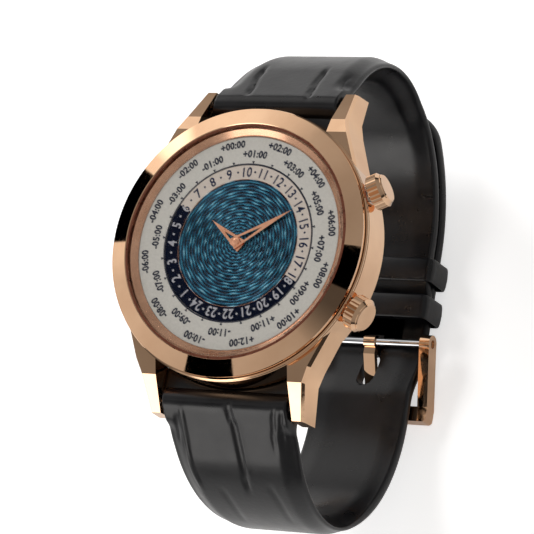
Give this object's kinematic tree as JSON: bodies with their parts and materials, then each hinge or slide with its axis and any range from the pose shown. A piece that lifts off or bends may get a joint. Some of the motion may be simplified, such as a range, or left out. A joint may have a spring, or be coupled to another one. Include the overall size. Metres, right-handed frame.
{
  "type": "world time wristwatch",
  "caption": "Round world time wristwatch: 24-hour ring, offset ring, two hands, two crowns, open-backed automatic movement and a buckled leather strap.",
  "frame": {"origin": "centre of the flat outer face of the case back", "axes": "+Z out of the dial, +Y towards 12 o'clock, +X towards 3 o'clock and the crowns"},
  "size_m": [0.0405, 0.0692, 0.0512],
  "materials": {
    "rose_gold": "polished rose gold",
    "sapphire": "clear polished",
    "gasket": "matte",
    "dial_blue": "engine-turned under translucent blue lacquer",
    "hour24_print": "printed, pale day half and navy night half",
    "city_silver": "satin silver",
    "steel": "polished",
    "nickel": "nickel-plated, striped",
    "gilt_brass": "gilt",
    "rotor_gold": "brushed",
    "ruby": "polished",
    "leather": "black, large square scales"
  },
  "bodies": {
    "case": {"case_middle": "rose_gold", "bezel": "rose_gold", "crystal": "sapphire", "crystal_gasket": "gasket", "rehaut_ring": "rose_gold", "dial_plate": "nickel", "centre_dial": "dial_blue", "movement_holder": "nickel", "mainplate": "nickel", "barrel_bridge": "nickel", "train_bridge": "nickel", "balance_cock": "nickel", "jewels": "ruby", "bridge_screws": "steel", "rotor_bearing": "gilt_brass", "caseback_ring": "rose_gold", "caseback_crystal": "sapphire", "caseback_gasket": "gasket", "upper_crown_tube": "steel", "lower_crown_tube": "steel", "spring_bar_12": "steel", "spring_bar_6": "steel", "strap_short": "leather", "strap_long": "leather", "buckle_frame": "rose_gold", "buckle_bar": "steel", "fixed_keeper": "leather"},
    "minute_hand": {"minute_hand": "rose_gold", "cannon_pinion": "rose_gold"},
    "hour_hand": {"hour_hand": "rose_gold", "hour_pipe": "steel"},
    "hour24_ring": {"hour24_ring": "hour24_print"},
    "city_ring": {"city_ring": "city_silver"},
    "upper_stem": {"upper_stem": "steel"},
    "upper_crown": {"upper_crown": "rose_gold"},
    "lower_crown": {"lower_crown": "rose_gold", "lower_stem": "steel"},
    "rotor": {"rotor": "rotor_gold"},
    "balance_wheel": {"balance_wheel": "gilt_brass"},
    "ratchet_wheel": {"ratchet_wheel": "steel"},
    "crown_wheel": {"crown_wheel": "steel"},
    "buckle_tongue": {"buckle_tongue": "rose_gold"},
    "sliding_keeper": {"sliding_keeper": "leather"}
  },
  "joints": [
    {"name": "minute_hand_turn", "type": "hinge", "parent": "case", "child": "minute_hand", "pos_m": [0, 0, 0.0084], "axis": [0, 0, -1], "continuous": true},
    {"name": "hour_hand_turn", "type": "hinge", "parent": "case", "child": "hour_hand", "pos_m": [0, 0, 0.0083], "axis": [0, 0, -1], "continuous": true},
    {"name": "hour24_ring_turn", "type": "hinge", "parent": "case", "child": "hour24_ring", "pos_m": [0, 0, 0.008], "axis": [0, 0, -1], "continuous": true},
    {"name": "lower_crown_turn", "type": "hinge", "parent": "case", "child": "lower_crown", "pos_m": [0.02004, -0.00909, 0.00575], "axis": [0.9107, -0.4131, 0], "continuous": true},
    {"name": "city_ring_turn", "type": "hinge", "parent": "case", "child": "city_ring", "pos_m": [0, 0, 0.008], "axis": [0, 0, 1], "continuous": true},
    {"name": "upper_crown_pull", "type": "slide", "parent": "case", "child": "upper_stem", "axis": [0.9107, 0.4131, 0], "range_m": [0, 0.001]},
    {"name": "upper_crown_turn", "type": "hinge", "parent": "upper_stem", "child": "upper_crown", "pos_m": [0.02004, 0.00909, 0.00575], "axis": [0.9107, 0.4131, 0], "continuous": true},
    {"name": "crown_wheel_turn", "type": "hinge", "parent": "case", "child": "crown_wheel", "pos_m": [0.00312, 0.00953, 0.003], "axis": [0, 0, 1], "continuous": true},
    {"name": "ratchet_wheel_turn", "type": "hinge", "parent": "case", "child": "ratchet_wheel", "pos_m": [-0.00319, 0.0076, 0.003], "axis": [0, 0, 1], "continuous": true},
    {"name": "rotor_turn", "type": "hinge", "parent": "case", "child": "rotor", "pos_m": [0, 0, 0.0022], "axis": [0, 0, 1], "continuous": true},
    {"name": "balance_swing", "type": "hinge", "parent": "case", "child": "balance_wheel", "pos_m": [-0.0045, -0.00779, 0.0043], "axis": [0, 0, 1], "range_deg": [-270, 270]},
    {"name": "tongue_lift", "type": "hinge", "parent": "case", "child": "buckle_tongue", "pos_m": [0, -0.0015, -0.0371], "axis": [1, 0, 0], "range_deg": [0, 6]},
    {"name": "keeper_slide", "type": "slide", "parent": "case", "child": "sliding_keeper", "axis": [0, 1, 0], "range_m": [-0.0012, 0.0015]}
  ],
  "couplings": [
    {"joint": "hour_hand_turn", "follows": "minute_hand_turn", "ratio": 0.083333},
    {"joint": "hour24_ring_turn", "follows": "minute_hand_turn", "ratio": -0.041667},
    {"joint": "city_ring_turn", "follows": "lower_crown_turn", "ratio": 0.25},
    {"joint": "crown_wheel_turn", "follows": "upper_crown_turn", "ratio": 0.5},
    {"joint": "ratchet_wheel_turn", "follows": "upper_crown_turn", "ratio": -0.33333}
  ]
}
